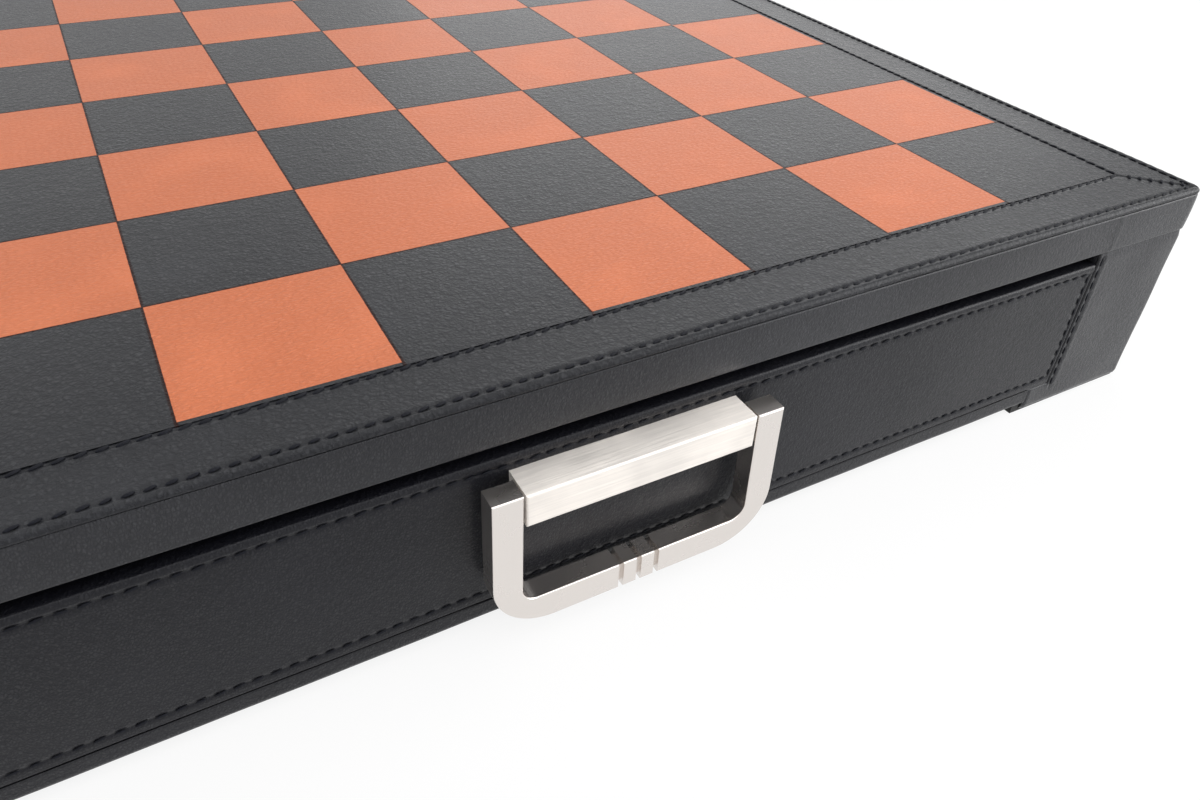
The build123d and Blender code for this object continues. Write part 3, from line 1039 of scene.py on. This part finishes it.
@dataclass
class CornerCovers(CaseLeather):
    """Leather folded round each corner post, with a tab under the drawer and a sewn edge beside it."""

    fold_radius: float = 0.6 * MM
    under_radius: float = 2.2 * MM
    top_radius: float = 0.3 * MM
    top_lean: float = 0.4 * MM
    stitch_inset: float = 1.6 * MM
    fold_inset: float = 3.2 * MM
    fold_height: float = 0.12 * MM
    fold_width: float = 0.5 * MM
    return_depth: float = 13.2 * MM
    cell: float = 1.1 * MM
    sway: Waves = Waves(17 * MM, 0.28 * MM)

    def edge_distance(self, across: float, level: float) -> float:
        """Distance to the sides of the cover, apart from its foot, from a place on it."""
        reach, tab = self.half - self.opening_half, self.half - self.tab_edge
        if level >= self.rail_top:
            return reach - across
        if across >= reach:
            return min(self.rail_top - level, tab - across)
        return math.hypot(reach - across, self.rail_top - level)

    def seam(self) -> Seam:
        """The row beside the drawer, with u from the corner towards the drawer."""
        across = self.half - self.opening_half - self.stitch_inset
        return Seam((across, self.rail_top - 1.5 * MM), (across, self.high - 1.2 * MM), pitch=4.0 * MM,
                    length=2.9 * MM, slant=6.0, width=0.85 * MM)

    def bend(self, point: Vector, seam: Seam) -> Vector:
        """Place one point, by its way from the corner, negative on the drawer's side, and its height."""
        across, level = abs(point.x), point.y
        fall = max(rounded(self.edge_distance(across, level), self.fold_radius),
                   rounded(self.high - level, self.top_radius))
        fall += rounded(level - self.post_low, self.under_radius)
        fall += self.top_lean * smooth(self.high - 2.6 * MM, self.high, level)
        rise = 0.0
        if point.x < 0:
            inset = self.half - self.opening_half - across
            fold = self.fold_height * bell(inset - self.fold_inset, self.fold_width)
            rise = seam.relief(across, level)
            rise += fold * smooth(self.rail_top - 2 * MM, self.rail_top + 2 * MM, level)
        out = self.half - fall + rise + self.sway.at(point.x, level, 1.9)
        side = self.half - across - (self.half - out) * max(0.0, 1 - across / (8 * MM))
        return self.round_corner(side, -out, level) if point.x < 0 else self.round_corner(out, -side, level)

    def build(self, finish: Material, thread: Material) -> None:
        """Build the four covers and their sewing."""
        seam = self.seam()
        reach, tab = self.half - self.opening_half, self.half - self.tab_edge
        middle = Vector((self.half - 10 * MM, -self.half + 10 * MM, 0))
        for corner, (x_side, y_side) in CORNERS.items():
            cover = Piece(f"corner_leather_{corner}")
            cover.grid(tab, self.post_low, self.high, (self.cell, self.cell))
            for side in (-1, 1):
                cover.lines(0, reach, (0.0, -0.15, -0.4, -0.8), side)
            cover.lines(0, -seam.start[0], (-0.5, -0.25, 0.0, 0.25, 0.5))
            cover.lines(0, 0.0, (-1.8, -1.2, -0.6, 0.0, 0.6, 1.2, 1.8))
            cover.lines(1, self.rail_top, (0.0, -0.2, -0.5))
            cover.lines(1, self.high, (-0.15, -0.4, -0.8))
            cover.lines(1, self.post_low, (0.2, 0.6))
            cover.drop(lambda centre: abs(centre.x) > reach and centre.y > self.rail_top)
            cover.move(lambda point: self.bend(point, seam))
            cover.thicken(self.leather, lambda place: Vector((place.x - middle.x, place.y - middle.y, 0)))
            cover.slab(Vector((self.opening_half, -self.half + 0.9 * MM, self.rail_top - 1 * MM)),
                       Vector((self.opening_half + self.leather, self.return_depth - self.half,
                               self.high - 0.1 * MM)), 0.3 * MM)
            bmesh.ops.scale(cover.shape, vec=(x_side, -y_side, 1), verts=cover.shape.verts)
            cover.done(finish, "case", f"corner_cover_{corner}")

            sewing = Sewing(f"corner_thread_{corner}")
            sewing.row(seam, lambda u, v: (Vector((x_side * (self.half - u), y_side * self.half, v)),
                                           Vector((-x_side, 0, 0)), Vector((0, y_side, 0))))
            sewing.done(thread, "case")


@dataclass
class SideCovers(CaseLeather):
    """Plain panels on the left and right side, and edge strips under the drawers."""

    edge_radius: float = 0.6 * MM
    strip_radius: float = 0.25 * MM
    under_radius: float = 1.4 * MM
    panel_cell: tuple[float, float] = (2.4 * MM, 1.9 * MM)
    strip_cell: tuple[float, float] = (2.0 * MM, 0.8 * MM)
    panel_sway: Waves = Waves(30 * MM, 0.25 * MM)
    strip_sway: Waves = Waves(22 * MM, 0.16 * MM)

    def panel_out(self, across: float, level: float, layer: float) -> float:
        """How far out a side panel lies at a place on it, rounded at its edges and uneven."""
        end = self.opening_half if level >= self.rail_top else self.tab_edge
        fall = rounded(min(end - abs(across), self.high - level), self.edge_radius)
        fall += rounded(level - self.panel_low, self.under_radius)
        return self.half - fall + self.panel_sway.at(across, level, layer)

    def strip_out(self, along: float, level: float, layer: float) -> float:
        """How far out an edge strip lies at a place on it, rounded at its edges and uneven."""
        fall = rounded(self.rail_top - level, self.strip_radius)
        fall += rounded(level - self.panel_low, self.under_radius)
        return self.half - fall + self.strip_sway.at(along, level, layer)

    def build(self, finish: Material, strip_shaded_finish: Material) -> None:
        """Build both panels and both strips."""
        for hand, x_side in HANDS.items():
            panel = Piece(f"side_leather_{hand}")
            panel.grid(self.opening_half, self.panel_low, self.high, self.panel_cell)
            for side in (-1, 1):
                panel.lines(0, self.opening_half, (-0.15, -0.45), side)
                panel.lines(0, self.tab_edge, (0.0, -0.15, -0.45), side)
            panel.lines(1, self.rail_top, (0.0,))
            panel.lines(1, self.high, (-0.4, -0.15))
            panel.lines(1, self.panel_low, (0.15, 0.45, 0.9))
            panel.drop(lambda centre: abs(centre.x) > self.tab_edge and centre.y < self.rail_top)
            panel.move(lambda point: Vector((x_side * self.panel_out(point.x, point.y, 4.0 * x_side),
                                             point.x, point.y)))
            panel.thicken(self.leather, lambda place: Vector((x_side, 0, 0)))
            panel.done(finish, "case", f"side_cover_{hand}")

        # The edge strips take the darker copy of the black leather: painted shade.
        for end, y_side in ENDS.items():
            strip = Piece(f"edge_leather_{end}")
            strip.grid(self.tab_edge, self.panel_low, self.rail_top, self.strip_cell)
            strip.lines(1, self.rail_top, (-0.12, -0.35))
            strip.lines(1, self.panel_low, (0.12, 0.4))
            strip.move(lambda point: Vector((point.x, y_side * self.strip_out(point.x, point.y, 7.0 * y_side),
                                             point.y)))
            strip.thicken(self.leather, lambda place: Vector((0, y_side, 0)))
            strip.done(strip_shaded_finish, "case", f"bottom_edge_{end}")


# ---- The drawers' leather ----


@dataclass
class DrawerLeather:
    """Leather drawn over a drawer's front and sewn round its edge.

    Args:
        half: how far out its face lies.
        leather: its thickness.
        width_half: half its width.
        low: height at which it starts.
        high: height at which it ends.
        back_face: how far out its turned-back edges end.
    """

    half: float
    leather: float
    width_half: float
    low: float
    high: float
    back_face: float
    row_inset: float = 2.8 * MM
    end_inset: float = 1.5 * MM
    edge_radius: float = 0.7 * MM
    under_radius: float = 0.25 * MM
    lip_inset: float = 1.5 * MM
    lip_width: float = 0.7 * MM
    lip_swell: float = 0.16 * MM
    turn_depth: float = 3 * MM
    pitch: float = 3.9 * MM
    cell: tuple[float, float] = (1.0 * MM, 1.5 * MM)
    sway: Waves = Waves(28 * MM, 0.26 * MM)

    def seams(self) -> list[Seam]:
        """Rows along the top, the bottom and both ends, with u along X and v up."""
        end = self.width_half - self.end_inset
        bottom, top = self.low + self.row_inset, self.high - self.row_inset
        corners = [((-end, top), (end, top)), ((-end, bottom), (end, bottom)),
                   ((-end, bottom), (-end, top)), ((end, bottom), (end, top))]
        return [Seam(start, finish, self.pitch, length=2.6 * MM, slant=7.0, width=0.62 * MM, press=0.34 * MM,
                     puff=0.1, sink=0.1, swing=0.12) for start, finish in corners]

    def swell(self, u: float, v: float) -> float:
        """Rise of the leather: full along the lip above the upper seam, uneven elsewhere."""
        lip = self.lip_swell * bell(self.high - v - self.lip_inset, self.lip_width)
        return lip + self.sway.at(u, v, 2.6)

    def out(self, u: float, v: float, seams: Sequence[Seam]) -> float:
        """How far out the face lies at a place on it, rounded at its edges and pressed by its seams."""
        fall = max(rounded(self.high - v, self.edge_radius), rounded(v - self.low, self.under_radius),
                   rounded(self.width_half - abs(u), 0.5 * self.edge_radius))
        press = min(0.0, *(seam.relief(u, v) for seam in seams))
        return self.half - fall + press + self.swell(u, v)

    def build(self, finish: Material, thread: Material) -> None:
        """Build the leather of both drawer fronts and its sewing."""
        seams = self.seams()
        around = (-0.5, -0.25, 0.0, 0.25, 0.5)
        middle = Vector((0, 0, (self.low + self.high) / 2))
        for end, y_side in ENDS.items():
            cover = Piece(f"{end}_drawer_leather")
            cover.grid(self.width_half, self.low, self.high, self.cell)
            for row in (self.low + self.row_inset, self.high - self.row_inset):
                cover.lines(1, row, (-1.2, *around, 1.2))
            for inset in (0.1, 0.3, 0.65, 1.0):
                cover.lines(1, self.low, (inset,))
                cover.lines(1, self.high, (-inset,))
            for side in (-1, 1):
                cover.lines(0, self.width_half - self.end_inset, around, side)
                cover.lines(0, self.width_half, (-0.1, -0.3, -0.65), side)
            cover.move(lambda point: Vector((point.x, y_side * self.out(point.x, point.y, seams), point.y)))
            rims = [edge for edge in cover.shape.edges if edge.is_boundary]
            for reach in (self.half - self.turn_depth, self.back_face):
                made = bmesh.ops.extrude_edge_only(cover.shape, edges=rims)["geom"]
                rims = [item for item in made if isinstance(item, bmesh.types.BMEdge)]
                for vertex in (item for item in made if isinstance(item, bmesh.types.BMVert)):
                    vertex.co.y = y_side * reach
            cover.thicken(self.leather, lambda at: Vector((0, y_side, 0)) + 0.001 * (at - middle))
            cover.done(finish, f"{end}_drawer", f"{end}_drawer_cover")

            sewing = Sewing(f"{end}_drawer_thread")
            for seam in seams:
                sewing.row(seam, lambda u, v: (Vector((u, y_side * (self.half + self.swell(u, v)), v)),
                                               Vector((-y_side, 0, 0)), Vector((0, y_side, 0))))
            sewing.done(thread, f"{end}_drawer")


# ---- CAD pieces that keep their shape ----


@dataclass
class FramePieces:
    """The CAD nodes, dressed with the finish of their material slot."""

    bail_arm: float = 12 * MM

    def build(self, materials: dict[str, Material]) -> None:
        """Give every CAD node its own finish, or else the one of its material slot."""
        bail_half, _, bail_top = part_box("front_handle_bail")[1]
        bail_finish = BrushedNickel("brushed_nickel_bail", (0.765, 0.720, 0.685), BrushLine.ROUND_BAIL,
                                    arm_edge=bail_half - self.bail_arm, arm_top=bail_top).build()
        own = {"playing_field": FIELD_LEATHER.build()}
        own |= {f"{end}_handle_bail": bail_finish for end in ENDS}
        slots = {row["node"]: row["material_slot"] for row in frame["record"]["subparts"]}
        for name, node in frame["nodes"].items():
            material = own.get(name) or materials[slots[name]]
            node.data.materials.clear()
            node.data.materials.append(material)
        log.info("dressed %d CAD nodes", len(frame["nodes"]))


def case_sizes() -> dict[str, float]:
    """Read the sizes of the case's leather from the CAD."""
    border_low, border_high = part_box("border_front")
    field_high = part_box("playing_field")[1]
    cover_low, cover_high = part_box("corner_cover_front_right")
    rail_low, rail_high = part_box("bottom_edge_front")
    return {"half": border_high.x, "leather": border_high.z - border_low.z, "top": field_high.z,
            "field_half": field_high.x, "band_low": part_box("band_front")[0].z,
            "opening_half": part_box("side_cover_right")[1].y, "tab_edge": cover_low.x,
            "post_low": cover_low.z, "panel_low": rail_low.z, "rail_top": rail_high.z, "high": cover_high.z}


def main() -> None:
    """Build the studio and every piece."""
    logging.basicConfig(level=logging.INFO, format="%(message)s")
    Studio().build()
    materials = {slot: finish.build() for slot, finish in FINISHES.items()}
    FramePieces().build(materials)
    # face is the darker copy of the black leather, painted shade for the drawer fronts and edge strips; case
    # is the lighter copy, painted sheen for the bands, corner covers and side panels.
    thread, face, case = THREAD.build(), SHADED_FACE_LEATHER.build(), SHEEN_CASE_LEATHER.build()

    shared = case_sizes()
    TopBorder(**shared).build(materials["black_leather"], case, thread)
    CornerCovers(**shared).build(case, thread)
    SideCovers(**shared).build(case, face)
    drawer_low, drawer_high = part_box("front_drawer_cover")
    DrawerLeather(shared["half"], shared["leather"], drawer_high.x, drawer_low.z, drawer_high.z,
                  -drawer_high.y).build(face, thread)


if __name__ == "__main__":
    main()
